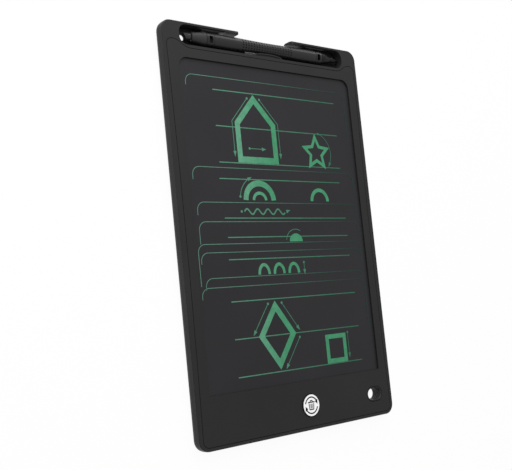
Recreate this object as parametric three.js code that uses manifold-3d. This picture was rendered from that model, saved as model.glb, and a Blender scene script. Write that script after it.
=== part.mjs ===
// A writing tablet with an erasable liquid-crystal sheet, a clip-in stylus and a coin-cell drive.
// It lies on its back: X is its width, Y its length with the stylus at +Y, Z points out of the screen.
// The origin is the middle of the back face. Lengths are in millimetres.
import * as THREE from "three";
import { mergeVertices } from "three/addons/utils/BufferGeometryUtils.js";
import Module from "manifold-3d";

const wasm = await Module();
wasm.setup();

// Housing
const bodyWidth = 145;
const bodyLength = 225;
const bodyThickness = 7;
const cornerRadius = 5.9;
const frontBevel = 0.4;
const backEdgeIn = 2.6;
const backEdgeUp = 3.4;
const floorThickness = 1.2;
const rimWidth = 2.6;
const lowerRimWidth = 2.1;
const panelWaist = 1.1;
const ledgeWidth = 1.2;

// Clearances
const seamGap = 0.3;
const stackGap = 0.05;
const slideGap = 0.3;
const shaftGap = 0.3;

// Front bezel: it drops into the rim and has an ear beside each end of the stylus bay
const bezelThickness = 0.8;
const bezelTopStrip = 1.9;
const earFromTop = 10.2;
const earFromSide = 6;
const earReach = 18.2;
const windowFromSide = 9;
const windowFromTop = 19.4;
const windowFromBottom = 27.2;
const windowCorner = 5.5;
const windowLowerCorner = 0.6;

// Snap hooks under the bezel
const hookLength = 8;
const hookThickness = 1;
const hookDepth = 2;
const hookBite = 0.4;
const hookNose = 0.6;
const sideHooks = 4;
const bottomHooks = 3;

// Screen stack, from the front down
const tapeThickness = 0.15;
const tapeSetback = 0.6;
const lcdThickness = 0.6;
const lcdOverlap = 2.2;
const backingThickness = 0.8;
const ribbonShelf = 3;
const ribThickness = 1;
const ribColumns = 3;
const ribRows = 5;

// Stylus, laid along X; its section is a flattened round
const penHalfWidth = 3.95;
const penWaist = 3.5;
const penFlatness = 0.76;
const shoulderFromEnd = 9.3;
const barrelEndRadius = 3.8;
const barrelWall = 1;
const socketDepth = 8.5;
const grooveDepth = 0.2;
const grooveWidth = 0.5;
const grooveFromLatch = 2.5;
const latchFromEnd = 2.7;
const latchLength = 2.3;
const latchWidth = 3.7;
const latchOffset = -0.5;
const frontConeLength = 8.2;
const frontConeEnd = 1.9;
const frontConeBulge = 1.5;
const nibLength = 7.6;
const nibRadius = 1.6;
const nibTip = 0.9;
const rearConeLength = 9.3;
const rearConeEnd = 2.5;
const rearConeBulge = 1.1;
const plugLength = 5.4;
const plugGap = 0.8;
const plugRadius = 2;
const plugEnd = 1.5;
const plugSlant = 1.6;
const tangRadius = 0.8;
const tangLength = 5;

// Stylus bay with its two spring rails and thumb tab
const bayFromSide = 11.65;
const bayShift = -0.5;
const bayWidth = 11.1;
const bayEndRadius = 4.6;
const bayFloor = 0.8;
const tipPlay = 0.6;
const plugPlay = 4;
const railThickness = 1.3;
const railSpan = 39;
const railUnderside = 0.8;
const railNoseLength = 2.4;
const railNoseHeight = 5;
const reliefWidth = 1.6;
const reliefInset = 17.5;
const padThickness = 1.05;
const padLength = 11.5;
const padRamp = 4.8;
const padFromEnd = 22.15;
const padHeight = 5;
const tabLength = 22;
const tabThickness = 2.4;
const tabRim = 0.7;
const tabDish = 0.5;
const coreHoleExtra = 1;
const coreHoleWidth = 2.9;
const pushHoleLength = 4.4;
const pushHoleWidth = 3.2;
const pushHoleInset = 2.9;

// Lanyard hole, an oblong tube that shows as a ring in the bezel
const lanyardFromSide = 15;
const lanyardFromBottom = 13.2;
const lanyardLength = 10.8;
const lanyardWidth = 6.6;
const lanyardWall = 0.8;
const lanyardFlare = 0.3;

// Erase button, set a little to the right of the middle
const buttonX = 5.1;
const buttonFromBottom = 13.6;
const buttonRadius = 6.2;
const buttonProud = 0.6;
const buttonEdge = 0.15;
const buttonWall = 1.2;
const buttonTravel = 0.4;
const flangeReach = 1;
const flangeThickness = 0.5;
const stemRadius = 1.2;
const stemLength = 0.7;
const guideWall = 1;
const guideHeight = 1.2;

// Circuit board and what it carries
const boardLength = 62;
const boardWidth = 15.6;
const boardThickness = 1;
const boardCorner = 1.2;
const boardFromCell = 2.6;
const boardFromBottom = 4.9;
const tactSize = 6;
const tactHeight = 1.2;
const plungerRadius = 1.6;
const plungerProud = 0.35;
const chipLength = 5;
const chipWidth = 4;
const chipHeight = 1.2;
const chipX = 19;
const capacitorLength = 2;
const capacitorWidth = 1.25;
const capacitorHeight = 0.9;
const capacitorPitch = 3.4;
const capacitorX = 25.5;
const screwHeadRadius = 1.6;
const screwHeadHeight = 0.8;
const screwHeadBevel = 0.5;
const screwShaftRadius = 0.8;
const screwSlotWidth = 0.4;
const bossRadius = 2.2;
const boardScrewInset = 2.6;
const boardScrewLength = 2.2;

// Flat cable from the screen to the board
const ribbonWidth = 10;
const ribbonThickness = 0.2;
const ribbonLap = 2.2;
const ribbonX = -6;

// Coin cell, its springs, and the door on the back
const cellRadius = 10;
const cellThickness = 1.6;
const cellX = -31;
const cellFromBottom = 14.2;
const cellLift = 0.4;
const cellWallHeight = 1;
const springThickness = 0.2;
const springWidth = 2.6;
const springLap = 3;
const doorLength = 31;
const doorWidth = 22;
const doorCorner = 3;
const doorThickness = 1;
const doorHeadSeat = 0.55;
const doorScrewHead = 0.45;
const doorNotch = 1;
const doorSet = 0.1;
const doorOffset = -3;
const doorLedge = 0.9;
const doorLedgeReach = 1.6;
const doorScrewInset = 2.9;
const doorScrewLength = 4;
const doorPadRadius = 5;
const doorScrewBoss = 2.1;

// Erase lock: a thumb slide in a shallow recess of the back
const lockX = 31;
const lockTravel = 3;
const knobLength = 4;
const knobWidth = 2.6;
const knobSet = 0.15;
const knobFlange = 0.4;
const knobFlangeReach = 1;
const knobRidges = 3;
const knobRidgeWidth = 0.4;
const knobPegRadius = 0.6;
const lockRecessDepth = 0.5;
const lockRecessMargin = 2.2;
const lockBodyLength = 8.6;
const lockBodyWidth = 3.6;
const lockGroove = 0.5;

// How finely round forms are cut
const arcSteps = 3;
const penSides = 24;
const roundSides = 24;
const smallSides = 12;
const barrelSteps = 10;
const coneSteps = 4;
const overcut = 1;

// Levels above the back face
const bezelBottom = bodyThickness - bezelThickness;
const ledgeTop = bezelBottom - stackGap;
const tapeBottom = ledgeTop - tapeThickness;
const lcdTop = tapeBottom - stackGap;
const lcdBottom = lcdTop - lcdThickness;
const backingTop = lcdBottom - stackGap;
const backingBottom = backingTop - backingThickness;
const ribTop = backingBottom - stackGap;
const flangeTop = bezelBottom - 2 * stackGap;
const flangeBottom = flangeTop - flangeThickness;
const buttonTop = bodyThickness + buttonProud;
const stemBottom = buttonTop - buttonWall - stemLength;
const plungerTop = stemBottom - slideGap;
const tactTop = plungerTop - plungerProud;
const boardTop = tactTop - tactHeight - stackGap;
const boardBottom = boardTop - boardThickness;
const doorTop = doorSet + doorThickness;
const doorLedgeBottom = doorTop + stackGap;
const doorLedgeTop = doorLedgeBottom + doorLedge;
const cellBottom = doorTop + cellLift;
const cellTop = cellBottom + cellThickness;

// Places in plan
const halfWidth = bodyWidth / 2;
const halfLength = bodyLength / 2;
const bayTop = halfLength - railThickness;
const bayBottom = bayTop - bayWidth;
const bayLength = bodyWidth - 2 * bayFromSide;
const penEnds = plugLength + rearConeLength + frontConeLength + nibLength;
const barrelLength = bayLength - tipPlay - penEnds - plugPlay;
const barrelShoulder = barrelLength / 2 - shoulderFromEnd;
const padCentre = bayLength / 2 - padFromEnd;
const penX = bayShift + bayLength / 2 - tipPlay - nibLength - frontConeLength - barrelLength / 2;
const penY = bayTop - padThickness - slideGap - penHalfWidth;
const penZ = bayFloor + slideGap + penHalfWidth * penFlatness;
const tabRise = penY - penWaist - slideGap - bayBottom;
const bezelSide = halfWidth - rimWidth;
const bezelEnd = -halfLength + lowerRimWidth;
const bezelTop = bayBottom - bezelTopStrip;
const windowWidth = bodyWidth - 2 * windowFromSide;
const windowLength = bodyLength - windowFromTop - windowFromBottom;
const windowTop = halfLength - windowFromTop;
const windowY = windowTop - windowLength / 2;
const lcdWidth = windowWidth + 2 * lcdOverlap;
const lcdLength = windowLength + 2 * lcdOverlap;
const lcdEnd = windowTop - windowLength - lcdOverlap;
const lanyardX = halfWidth - lanyardFromSide;
const lanyardY = -halfLength + lanyardFromBottom;
const buttonY = -halfLength + buttonFromBottom;
const cellY = -halfLength + cellFromBottom;
const springY = cellY - springWidth / 2;
const boardLeft = cellX + cellRadius + boardFromCell;
const boardX = boardLeft + boardLength / 2;
const boardY = -halfLength + boardFromBottom + boardWidth / 2;
const doorX = cellX + doorOffset;
const doorScrewX = doorX - doorLength / 2 + doorScrewInset;

// Joining and cutting

function solid(geometry) {
  const bare = geometry.index ? geometry.toNonIndexed() : geometry.clone();
  bare.deleteAttribute("normal");
  bare.deleteAttribute("uv");
  const merged = mergeVertices(bare, 1e-4);
  const corners = Array.from(merged.index.array);
  const faces = [];
  for (let i = 0; i < corners.length; i += 3) {
    const [a, b, c] = corners.slice(i, i + 3);
    if (a !== b && b !== c && c !== a) faces.push(a, b, c);
  }
  const vertProperties = merged.attributes.position.array;
  return new wasm.Manifold(new wasm.Mesh({ numProp: 3, vertProperties, triVerts: new Uint32Array(faces) }));
}

function join(first, ...others) {
  return others.reduce((body, other) => body.add(other), first);
}

function cut(body, ...tools) {
  return tools.reduce((rest, tool) => rest.subtract(tool), body);
}

function common(first, second) {
  return first.intersect(second);
}

function geometryOf(body) {
  const made = body.getMesh();
  const position = new Float32Array(made.vertProperties);
  const geometry = new THREE.BufferGeometry();
  geometry.setAttribute("position", new THREE.BufferAttribute(position, 3));
  geometry.setIndex(new THREE.BufferAttribute(new Uint32Array(made.triVerts), 1));
  geometry.computeVertexNormals();
  return geometry;
}

// Basic forms

function block(left, right, front, back, low, high) {
  const box = new THREE.BoxGeometry(right - left, back - front, high - low);
  return solid(box.translate((left + right) / 2, (front + back) / 2, (low + high) / 2));
}

function disc(radius, low, high, x = 0, y = 0, sides = roundSides) {
  const round = new THREE.CylinderGeometry(radius, radius, high - low, sides);
  return solid(round.rotateX(Math.PI / 2).translate(x, y, (low + high) / 2));
}

function prism(shape, low, high) {
  const form = new THREE.ExtrudeGeometry(shape, {
    depth: high - low,
    bevelEnabled: false,
    curveSegments: arcSteps,
  });
  return solid(form.translate(0, 0, low));
}

// A profile of [radius, height] pairs turned round Z
function turned(profile, sides = roundSides) {
  const points = profile.map(([radius, height]) => new THREE.Vector2(radius, height));
  return solid(new THREE.LatheGeometry(points, sides).rotateX(Math.PI / 2));
}

// A profile of [radius, distance] pairs turned round X and flattened like the stylus
function penForm(profile) {
  const points = profile.map(([radius, distance]) => new THREE.Vector2(radius, distance));
  const form = new THREE.LatheGeometry(points, penSides).rotateZ(-Math.PI / 2);
  return solid(form.scale(1, 1, penFlatness));
}

function roundedRect(width, length, radius, x = 0, y = 0, topRadius = radius) {
  const right = x + width / 2;
  const left = x - width / 2;
  const top = y + length / 2;
  const bottom = y - length / 2;
  const quarter = Math.PI / 2;
  const shape = new THREE.Shape();
  shape.absarc(right - radius, bottom + radius, radius, -quarter, 0);
  shape.absarc(right - topRadius, top - topRadius, topRadius, 0, quarter);
  shape.absarc(left + topRadius, top - topRadius, topRadius, quarter, 2 * quarter);
  shape.absarc(left + radius, bottom + radius, radius, 2 * quarter, 3 * quarter);
  shape.closePath();
  return shape;
}

function outlineOf(shape) {
  const points = shape.getPoints(arcSteps);
  if (points[0].distanceTo(points.at(-1)) < 1e-6) points.pop();
  return points;
}

// A closed body through one outline at several heights, drawn in by each level's inset
function loft(shapeAt, levels) {
  const outlines = levels.map(({ inset }) => outlineOf(shapeAt(inset)));
  const rings = outlines.map((outline, i) => outline.map((p) => [p.x, p.y, levels[i].z]));
  const corners = [];
  const face = (a, b, c) => corners.push(...a, ...b, ...c);
  const first = rings[0];
  const last = rings.at(-1);
  for (const [a, b, c] of THREE.ShapeUtils.triangulateShape(outlines[0], [])) {
    face(first[a], first[c], first[b]);
    face(last[a], last[b], last[c]);
  }
  for (let level = 0; level + 1 < rings.length; level++) {
    const lower = rings[level];
    const upper = rings[level + 1];
    lower.forEach((point, i) => {
      const next = (i + 1) % lower.length;
      face(point, lower[next], upper[next]);
      face(point, upper[next], upper[i]);
    });
  }
  const geometry = new THREE.BufferGeometry();
  geometry.setAttribute("position", new THREE.Float32BufferAttribute(corners, 3));
  return solid(geometry);
}

// A hole through the housing whose two mouths are flared
function flaredHole(shapeAt, flare) {
  return loft(shapeAt, [
    { inset: -flare - overcut, z: -overcut },
    { inset: 0, z: flare },
    { inset: 0, z: bodyThickness - flare },
    { inset: -flare - overcut, z: bodyThickness + overcut },
  ]);
}

// Outlines of the housing, the bezel and the lanyard tube

function bodyOutline(inset) {
  return roundedRect(bodyWidth - 2 * inset, bodyLength - 2 * inset, cornerRadius - inset);
}

// The arc of a given radius that bows in between two round corners and touches both
function waistArc(lower, upper, radius) {
  const toLower = radius + lower.radius;
  const toUpper = radius + upper.radius;
  const dx = upper.x - lower.x;
  const dy = upper.y - lower.y;
  const gap = Math.hypot(dx, dy);
  const along = (toLower ** 2 - toUpper ** 2 + gap ** 2) / (2 * gap);
  const out = Math.sqrt(toLower ** 2 - along ** 2);
  const x = lower.x + (dx * along + dy * out) / gap;
  const y = lower.y + (dy * along - dx * out) / gap;
  const lowerAngle = Math.atan2(y - lower.y, x - lower.x);
  const upperAngle = Math.atan2(y - upper.y, x - upper.x);
  return { x, y, lowerAngle, upperAngle };
}

function bezelOutline(grow) {
  const drop = halfLength - earFromTop - bezelTop;
  const peakX = halfWidth - earFromSide;
  const peakY = halfLength - earFromTop;
  const flatX = halfWidth - earReach;
  const sweep = 2 * Math.atan(drop / (peakX - flatX));
  const bend = (peakX - flatX) / 2 / Math.sin(sweep);
  const ear = { x: peakX, y: peakY - (bezelSide - peakX), radius: bezelSide - peakX };
  const corner = { radius: cornerRadius - rimWidth };
  corner.x = bezelSide - corner.radius;
  corner.y = bezelEnd + corner.radius;
  const radius = (ear.y - corner.y) ** 2 / (8 * panelWaist) + panelWaist / 2;
  const waist = waistArc(corner, ear, radius);
  const quarter = Math.PI / 2;
  const half = Math.PI;
  const shape = new THREE.Shape();
  shape.absarc(corner.x, corner.y, corner.radius + grow, -quarter, waist.lowerAngle);
  shape.absarc(waist.x, waist.y, radius - grow, half + waist.lowerAngle, half + waist.upperAngle, true);
  shape.absarc(ear.x, ear.y, ear.radius + grow, waist.upperAngle, quarter);
  shape.absarc(peakX, peakY - bend, bend + grow, quarter, quarter + sweep);
  shape.absarc(flatX, bezelTop + bend, bend - grow, sweep - quarter, -quarter, true);
  shape.absarc(-flatX, bezelTop + bend, bend - grow, -quarter, -quarter - sweep, true);
  shape.absarc(-peakX, peakY - bend, bend + grow, quarter - sweep, quarter);
  shape.absarc(-ear.x, ear.y, ear.radius + grow, quarter, half - waist.upperAngle);
  shape.absarc(-waist.x, waist.y, radius - grow, -waist.upperAngle, -waist.lowerAngle, true);
  shape.absarc(-corner.x, corner.y, corner.radius + grow, half - waist.lowerAngle, 3 * quarter);
  shape.closePath();
  return shape;
}

function windowOutline(setback) {
  return roundedRect(
    windowWidth + 2 * setback,
    windowLength + 2 * setback,
    windowLowerCorner + setback,
    0,
    windowY,
    windowCorner + setback,
  );
}

function lanyardOutline(inset) {
  const width = lanyardWidth - 2 * inset;
  return roundedRect(lanyardLength - 2 * inset, width, width / 2, lanyardX, lanyardY);
}

function doorOutline(grow) {
  return roundedRect(doorLength + 2 * grow, doorWidth + 2 * grow, doorCorner + grow, doorX, cellY);
}

// Snap hooks: where they stand, and the same block for a hook and for its pocket

function hookPlaces() {
  const places = [];
  const wallY = bezelEnd + ledgeWidth;
  const run = bezelTop - bezelEnd;
  for (let i = 0; i < sideHooks; i++) {
    const along = (i + 0.5) / sideHooks;
    const wallX = bezelSide - ledgeWidth - panelWaist * (1 - (2 * along - 1) ** 2);
    const y = bezelEnd + run * along;
    places.push({ x: wallX, y, turn: 0 });
    places.push({ x: -wallX, y, turn: Math.PI });
  }
  for (let i = 0; i < bottomHooks; i++) {
    const x = (bezelSide * 2 * (i + 0.5)) / bottomHooks - bezelSide;
    places.push({ x, y: wallY, turn: -Math.PI / 2 });
  }
  return places;
}

function hookBlock({ x, y, turn }, near, far, low, high, length) {
  const box = new THREE.BoxGeometry(far - near, length, high - low);
  box.translate((near + far) / 2, 0, (low + high) / 2);
  return solid(box.rotateZ(turn).translate(x, y, 0));
}

function snapHook(place) {
  const low = bezelBottom - hookDepth;
  const inner = -seamGap - hookThickness;
  const shank = hookBlock(place, inner, -seamGap, low, bezelBottom + stackGap, hookLength);
  const nose = hookBlock(place, inner, hookBite, low, low + hookNose, hookLength);
  return join(shank, nose);
}

function hookPocket(place) {
  const low = bezelBottom - hookDepth - seamGap;
  const high = low + hookNose + 2 * seamGap;
  return hookBlock(place, -overcut, hookBite + seamGap, low, high, hookLength + 2 * seamGap);
}

// Rear housing: tray, rim, stylus bay, bosses and lanyard tube in one moulding

// The body's outside, rounded towards the back face
function outerForm() {
  const levels = [];
  const steps = 4;
  for (let i = 0; i <= steps; i++) {
    const angle = (i / steps) * (Math.PI / 2);
    levels.push({ inset: backEdgeIn * (1 - Math.sin(angle)), z: backEdgeUp * (1 - Math.cos(angle)) });
  }
  levels.push({ inset: 0, z: bodyThickness - frontBevel });
  levels.push({ inset: frontBevel, z: bodyThickness });
  return loft(bodyOutline, levels);
}

function trayBody() {
  const pocket = prism(bezelOutline(seamGap), ledgeTop, bodyThickness + overcut);
  const cavity = prism(bezelOutline(-ledgeWidth), floorThickness, bodyThickness);
  return cut(outerForm(), pocket, cavity);
}

// The bay: its trough, the slots that free the rails, the thumb gap, and the holes in its floor
function bayCuts() {
  const middle = (bayTop + bayBottom) / 2;
  const end = bayLength / 2;
  const slot = end - reliefInset;
  const span = railSpan / 2;
  const core = tabLength / 2 + coreHoleExtra;
  const slotLow = bayTop - reliefWidth;
  const beyond = halfLength + overcut;
  const above = bodyThickness + overcut;
  return [
    prism(roundedRect(bayLength, bayWidth, bayEndRadius, bayShift, middle), bayFloor, above),
    block(-slot, slot, slotLow, bayTop, -overcut, bodyThickness),
    block(-slot, slot, slotLow, beyond, -overcut, railUnderside),
    block(-span, span, slotLow, beyond, -overcut, above),
    block(-core, core, bayBottom, bayBottom + coreHoleWidth, -overcut, bodyThickness),
    pushHole(),
  ];
}

// The hole under the plug, through which the stylus can be pushed out from behind
function pushHole() {
  const x = bayShift - bayLength / 2 + pushHoleInset + pushHoleLength / 2;
  const outline = roundedRect(pushHoleLength, pushHoleWidth, pushHoleWidth / 2, x, penY);
  return prism(outline, -overcut, bodyThickness);
}

// A pad that holds the stylus from above, with a ramp at each end
function railPad(side) {
  const low = railUnderside + slideGap;
  const left = side * padCentre - padLength / 2;
  const right = side * padCentre + padLength / 2;
  const outline = new THREE.Shape();
  outline.moveTo(left - padRamp, bayTop + seamGap);
  outline.lineTo(left - padRamp, bayTop);
  outline.lineTo(left, bayTop - padThickness);
  outline.lineTo(right, bayTop - padThickness);
  outline.lineTo(right + padRamp, bayTop);
  outline.lineTo(right + padRamp, bayTop + seamGap);
  outline.closePath();
  return prism(outline, low, low + padHeight);
}

// Each rail's free end, rounded in plan and kept inside the rounded back edge
function railTip(side) {
  const radius = railThickness / 2;
  const x = (side * railSpan) / 2;
  const round = disc(radius, railUnderside, bodyThickness, x, bayTop + radius, smallSides);
  return common(round, outerForm());
}

// What is cut away to give a rail's free end its rounded nose, an ellipse seen along Y
function railCorner(side) {
  const end = side * (railSpan / 2 - railThickness / 2);
  const middle = end + side * railNoseLength;
  const low = bodyThickness - railNoseHeight;
  const front = bayTop - seamGap;
  const back = halfLength + overcut;
  const beyond = end - side * overcut;
  const corner = block(
    Math.min(beyond, middle),
    Math.max(beyond, middle),
    front,
    back,
    low,
    bodyThickness + overcut,
  );
  const round = new THREE.CylinderGeometry(1, 1, 2 * (back - front), roundSides);
  round.scale(railNoseLength, 1, railNoseHeight).translate(middle, back, low);
  return cut(corner, solid(round));
}

function thumbTab() {
  const outer = new THREE.Shape();
  outer.absellipse(0, bayBottom, tabLength / 2, tabRise, 0, Math.PI);
  outer.lineTo(-tabLength / 2, bayBottom - seamGap);
  outer.lineTo(tabLength / 2, bayBottom - seamGap);
  outer.closePath();
  return prism(outer, bodyThickness - tabThickness, bodyThickness);
}

function tabHollow() {
  const inner = new THREE.Shape();
  inner.absellipse(0, bayBottom, tabLength / 2 - 2 * tabRim, tabRise - tabRim, 0, Math.PI);
  inner.closePath();
  return prism(inner, bodyThickness - tabDish, bodyThickness + overcut);
}

function screenRibs() {
  const top = windowTop + lcdOverlap;
  const low = floorThickness - stackGap;
  const ribs = [];
  for (let i = 0; i < ribColumns; i++) {
    const x = (windowWidth * (i + 0.5)) / ribColumns - windowWidth / 2;
    ribs.push(block(x - ribThickness / 2, x + ribThickness / 2, lcdEnd + ribbonShelf, top, low, ribTop));
  }
  for (let i = 0; i < ribRows; i++) {
    const y = lcdEnd + ribbonShelf + ((top - lcdEnd - ribbonShelf) * (i + 0.5)) / ribRows;
    ribs.push(block(-lcdWidth / 2, lcdWidth / 2, y - ribThickness / 2, y + ribThickness / 2, low, ribTop));
  }
  return ribs;
}

function boardScrewPlaces() {
  const dx = boardLength / 2 - boardScrewInset;
  const dy = boardWidth / 2 - boardScrewInset;
  return [
    { name: "board_screw_left", x: boardX - dx, y: boardY + dy },
    { name: "board_screw_right", x: boardX + dx, y: boardY - dy },
  ];
}

function boardBosses() {
  const low = floorThickness - stackGap;
  const high = boardBottom - stackGap;
  return boardScrewPlaces().map(({ x, y }) => disc(bossRadius, low, high, x, y, smallSides));
}

function boardPilotHoles() {
  return boardScrewPlaces().map(({ x, y }) =>
    disc(screwShaftRadius + shaftGap, floorThickness, bodyThickness, x, y, smallSides),
  );
}

function cellSeat() {
  const outer = cellRadius + slideGap + cellWallHeight;
  const low = floorThickness - stackGap;
  const frame = prism(doorOutline(doorLedgeReach), low, doorLedgeTop);
  const wall = disc(outer, low, doorLedgeTop + cellWallHeight, cellX, cellY);
  const boss = disc(doorScrewBoss, low, doorSet + doorScrewLength + seamGap, doorScrewX, cellY, smallSides);
  return [frame, wall, boss];
}

function cellSeatCuts() {
  const pocket = prism(doorOutline(slideGap), -overcut, doorLedgeBottom);
  const mouth = disc(cellRadius + slideGap, -overcut, bodyThickness, cellX, cellY);
  const springGap = block(
    cellX,
    boardLeft,
    springY - springWidth - slideGap,
    springY + springWidth + slideGap,
    doorLedgeTop,
    bodyThickness,
  );
  const depth = doorSet + doorScrewLength;
  const pilot = disc(screwShaftRadius + shaftGap, 0, depth, doorScrewX, cellY, smallSides);
  return [pocket, mouth, springGap, pilot];
}

function lockCuts() {
  const slotLength = knobLength + lockTravel + 2 * slideGap;
  const slotWidth = knobWidth + 2 * slideGap;
  const x = lockX + lockTravel / 2;
  const slot = prism(roundedRect(slotLength, slotWidth, slideGap, x, boardY), -overcut, bodyThickness);
  const length = slotLength + 2 * lockRecessMargin;
  const width = slotWidth + 2 * lockRecessMargin;
  const recess = prism(roundedRect(length, width, width / 2, x, boardY), -overcut, lockRecessDepth);
  return [slot, recess];
}

function backShell() {
  const tube = prism(lanyardOutline(-lanyardWall), floorThickness - stackGap, bodyThickness);
  const rails = [-1, 1].flatMap((side) => [railPad(side), railTip(side)]);
  const raised = [...rails, thumbTab(), ...screenRibs(), ...boardBosses(), ...cellSeat(), tube];
  const hollowed = cut(trayBody(), ...bayCuts(), ...hookPlaces().map(hookPocket));
  return cut(
    join(hollowed, ...raised),
    tabHollow(),
    railCorner(-1),
    railCorner(1),
    flaredHole(lanyardOutline, lanyardFlare),
    ...boardPilotHoles(),
    ...cellSeatCuts(),
    ...lockCuts(),
  );
}

// Front bezel with its window, holes, button guide and snap hooks

function frontBezel() {
  const plate = prism(bezelOutline(0), bezelBottom, bodyThickness);
  const guideInner = buttonRadius + flangeReach + slideGap;
  const guideLow = bezelBottom - guideHeight;
  const guide = disc(guideInner + guideWall, guideLow, bezelBottom + stackGap, buttonX, buttonY);
  const guideBore = disc(guideInner, guideLow - overcut, bezelBottom, buttonX, buttonY);
  const hooks = hookPlaces().map(snapHook);
  return cut(
    join(plate, cut(guide, guideBore), ...hooks),
    prism(windowOutline(0), -overcut, bodyThickness + overcut),
    prism(lanyardOutline(-lanyardWall - seamGap), -overcut, bodyThickness + overcut),
    disc(buttonRadius + slideGap, -overcut, bodyThickness + overcut, buttonX, buttonY),
  );
}

// Screen stack

function screenPlate(low, high, shortenBy = 0) {
  const length = lcdLength - shortenBy;
  const y = windowY + shortenBy / 2;
  return prism(roundedRect(lcdWidth, length, lcdOverlap, 0, y), low, high);
}

function tapeFrame() {
  return cut(screenPlate(tapeBottom, ledgeTop), prism(windowOutline(tapeSetback), 0, bodyThickness));
}

// Flat cable: under the screen's lower edge, then down to the board
function screenRibbon() {
  const start = lcdEnd + ribbonShelf - seamGap;
  const bend = lcdEnd - seamGap;
  const land = boardY + boardWidth / 2;
  const upper = lcdBottom - stackGap;
  const lower = boardTop + stackGap;
  const side = new THREE.Shape();
  side.moveTo(start, upper);
  side.lineTo(bend, upper);
  side.lineTo(land, lower + ribbonThickness);
  side.lineTo(land - ribbonLap, lower + ribbonThickness);
  side.lineTo(land - ribbonLap, lower);
  side.lineTo(land, lower);
  side.lineTo(bend, upper - ribbonThickness);
  side.lineTo(start, upper - ribbonThickness);
  side.closePath();
  const form = new THREE.ExtrudeGeometry(side, { depth: ribbonWidth, bevelEnabled: false });
  form.rotateX(Math.PI / 2).rotateZ(Math.PI / 2);
  return solid(form.translate(ribbonX - ribbonWidth / 2, 0, 0));
}

// Circuit board and parts, in the board's own frame: its middle, at its top face

function circuitBoard() {
  const outline = roundedRect(boardLength, boardWidth, boardCorner);
  const radius = screwShaftRadius + shaftGap;
  const low = -boardThickness - overcut;
  const holes = boardScrewPlaces().map(({ x, y }) =>
    disc(radius, low, overcut, x - boardX, y - boardY, smallSides),
  );
  return cut(prism(outline, -boardThickness, 0), ...holes);
}

function tactBody() {
  const half = tactSize / 2;
  const bore = disc(plungerRadius + slideGap, -overcut, tactHeight + overcut, 0, 0, smallSides);
  return cut(block(-half, half, -half, half, stackGap, stackGap + tactHeight), bore);
}

function tactPlunger() {
  const length = plungerProud + tactHeight - buttonTravel - 2 * stackGap;
  return disc(plungerRadius, -length, 0, 0, 0, smallSides);
}

// A gull-wing chip: a body with a row of legs along each long side
function controllerChip() {
  const legs = 4;
  const legWidth = 0.4;
  const legReach = 0.7;
  const body = block(-chipLength / 2, chipLength / 2, -chipWidth / 2, chipWidth / 2, stackGap, chipHeight);
  const rows = [];
  for (let i = 0; i < legs; i++) {
    const x = (chipLength * (i + 0.5)) / legs - chipLength / 2;
    const reach = chipWidth / 2 + legReach;
    rows.push(block(x - legWidth / 2, x + legWidth / 2, -reach, reach, stackGap, chipHeight / 3));
  }
  return join(body, ...rows);
}

function capacitor() {
  const length = capacitorLength / 2;
  const width = capacitorWidth / 2;
  return block(-length, length, -width, width, stackGap, stackGap + capacitorHeight);
}

// A pan-head screw with a cross slot; its seat is at height zero and its shaft points down
function crossScrew(length, headHeight) {
  const profile = [
    [0, -length],
    [screwShaftRadius / 2, -length],
    [screwShaftRadius, -length + screwShaftRadius],
    [screwShaftRadius, 0],
    [screwHeadRadius, 0],
    [screwHeadRadius, headHeight / 2],
    [screwHeadRadius - screwHeadBevel, headHeight],
    [0, headHeight],
  ];
  const arm = screwHeadRadius - screwHeadBevel;
  const half = screwSlotWidth / 2;
  const low = headHeight / 2;
  const high = headHeight + overcut;
  return cut(
    turned(profile, smallSides),
    block(-arm, arm, -half, half, low, high),
    block(-half, half, -arm, arm, low, high),
  );
}

// Erase lock

function lockBody() {
  const bottom = floorThickness + stackGap + knobFlange + slideGap - boardBottom;
  const length = lockBodyLength / 2;
  const width = lockBodyWidth / 2;
  const grooveHalf = lockTravel / 2 + knobPegRadius + slideGap;
  const grooveWidth = knobPegRadius + slideGap;
  return cut(
    block(-length, length, -width, width, bottom, -stackGap),
    block(-grooveHalf, grooveHalf, -grooveWidth, grooveWidth, bottom - overcut, bottom + lockGroove),
  );
}

function lockKnob() {
  const length = knobLength / 2;
  const width = knobWidth / 2;
  const low = floorThickness + stackGap;
  const high = low + knobFlange;
  const reach = knobFlangeReach;
  const pegTop = high + slideGap + lockGroove / 2;
  const stem = block(-length, length, -width, width, knobSet, high);
  const flange = block(-length - reach, length + reach, -width - reach, width + reach, low, high);
  const peg = disc(knobPegRadius, high - stackGap, pegTop, 0, 0, smallSides);
  const grooves = [];
  for (let i = 0; i < knobRidges; i++) {
    const x = (knobLength * (i + 1)) / (knobRidges + 1) - length;
    const half = knobRidgeWidth / 2;
    grooves.push(block(x - half, x + half, -knobWidth, knobWidth, -overcut, 2 * knobSet));
  }
  return cut(join(stem, flange, peg), ...grooves);
}

// Erase button: a hollow cap with a retaining flange and a stem over the switch

function eraseButton() {
  const cup = buttonRadius - buttonWall;
  return turned([
    [0, stemBottom],
    [stemRadius, stemBottom],
    [stemRadius, buttonTop - buttonWall],
    [cup, buttonTop - buttonWall],
    [cup, flangeBottom],
    [buttonRadius + flangeReach, flangeBottom],
    [buttonRadius + flangeReach, flangeTop],
    [buttonRadius, flangeTop],
    [buttonRadius, buttonTop - buttonEdge],
    [buttonRadius - buttonEdge, buttonTop],
    [0, buttonTop],
  ]);
}

// Coin cell, contact springs and door

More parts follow.
